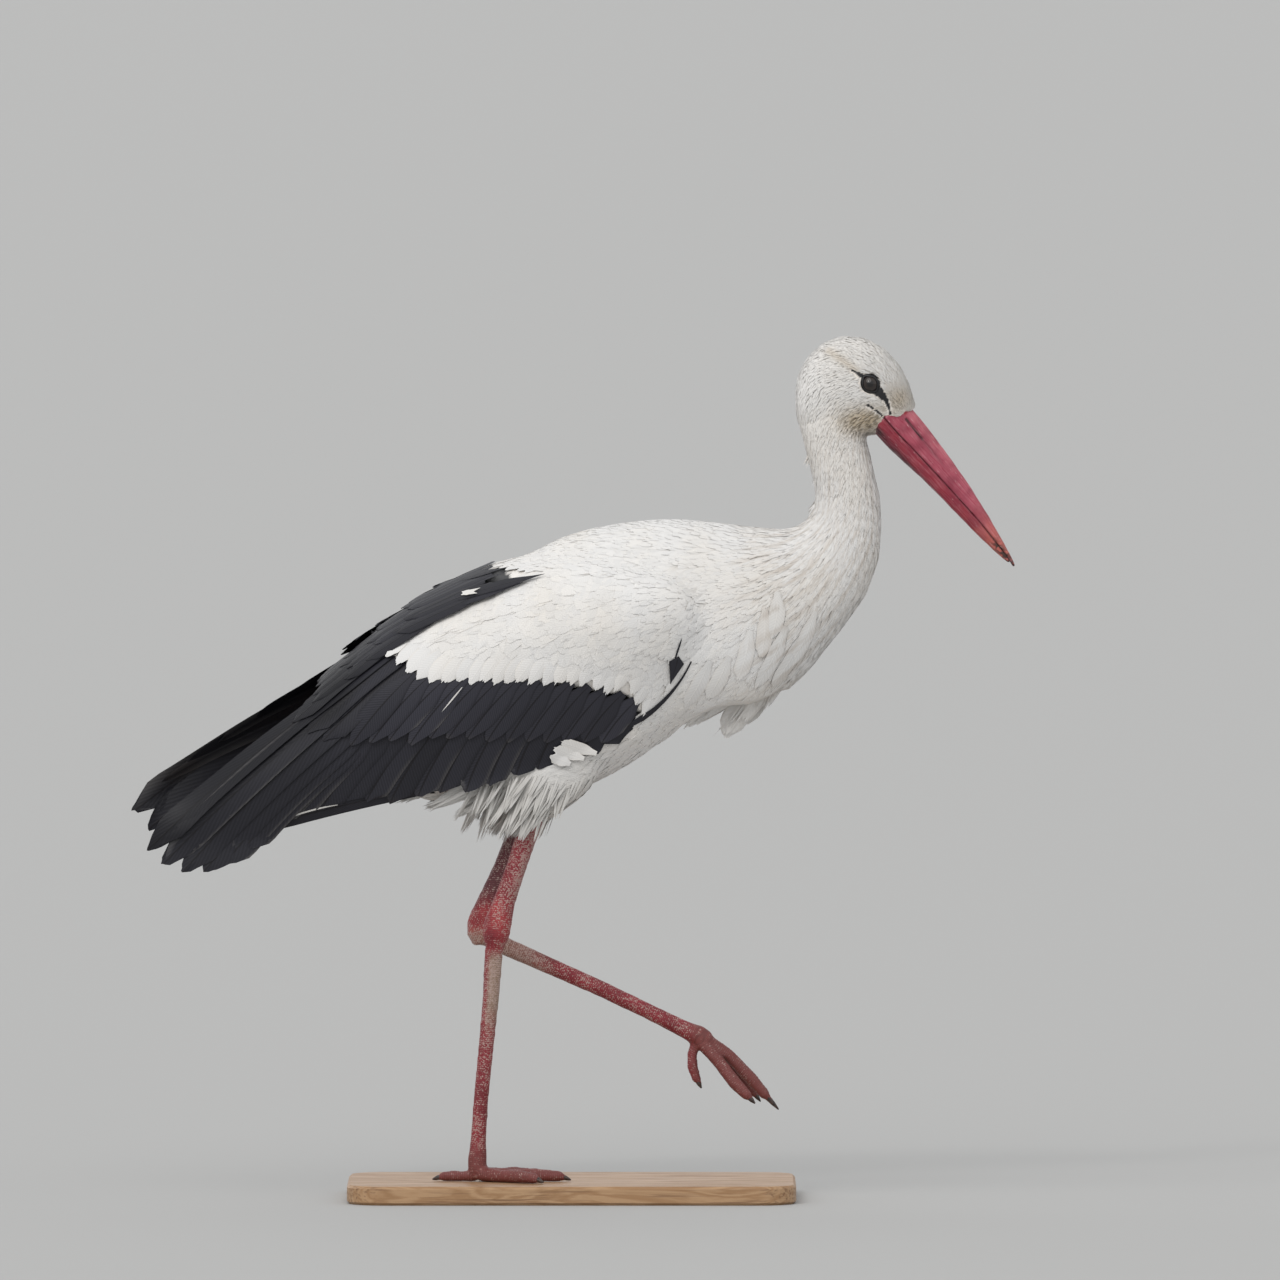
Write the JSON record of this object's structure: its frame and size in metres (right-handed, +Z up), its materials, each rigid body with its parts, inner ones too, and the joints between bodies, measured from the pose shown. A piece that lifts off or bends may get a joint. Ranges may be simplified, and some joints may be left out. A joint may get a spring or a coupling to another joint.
{
  "type": "white stork",
  "caption": "Life-size white stork model in a slow walking pose with a lifted foot, white body, black wing feathers, red bill and legs, on a flat wooden base.",
  "frame": {"origin": "middle of the underside of the base, on the floor", "axes": "+X is where the bird faces, +Y is its left side, +Z is up"},
  "size_m": [0.8529, 0.24, 0.829],
  "materials": {
    "plumage_white": "soft white feathers, matt",
    "plumage_black": "glossy-edged black flight feathers with a faint purple sheen",
    "bill_horn": "satin crimson horn",
    "leg_skin": "scaly red skin, satin",
    "eye": "wet gloss",
    "claw_horn": "dark worn horn",
    "base_wood": "oiled pale oak"
  },
  "bodies": {
    "root": {"trunk": "plumage_white", "neck_lower": "plumage_white", "neck_middle": "plumage_white", "neck_upper": "plumage_white", "head": "plumage_white", "bill_upper": "bill_horn", "bill_lower": "bill_horn", "eye_right": "eye", "eye_left": "eye", "tail": "plumage_white", "scapulars_right": "plumage_black", "coverts_right": "plumage_white", "greater_coverts_right": "plumage_black", "tertials_right": "plumage_black", "secondaries_right": "plumage_black", "primaries_right": "plumage_black", "thigh_right": "plumage_white", "shank_right": "leg_skin", "tarsus_right": "leg_skin", "toe_middle_right": "leg_skin", "claw_middle_right": "claw_horn", "toe_inner_right": "leg_skin", "claw_inner_right": "claw_horn", "toe_outer_right": "leg_skin", "claw_outer_right": "claw_horn", "toe_hind_right": "leg_skin", "claw_hind_right": "claw_horn", "scapulars_left": "plumage_black", "coverts_left": "plumage_white", "greater_coverts_left": "plumage_black", "tertials_left": "plumage_black", "secondaries_left": "plumage_black", "primaries_left": "plumage_black", "thigh_left": "plumage_white", "shank_left": "leg_skin", "tarsus_left": "leg_skin", "toe_middle_left": "leg_skin", "claw_middle_left": "claw_horn", "toe_inner_left": "leg_skin", "claw_inner_left": "claw_horn", "toe_outer_left": "leg_skin", "claw_outer_left": "claw_horn", "toe_hind_left": "leg_skin", "claw_hind_left": "claw_horn", "stand_base": "base_wood"}
  },
  "joints": []
}
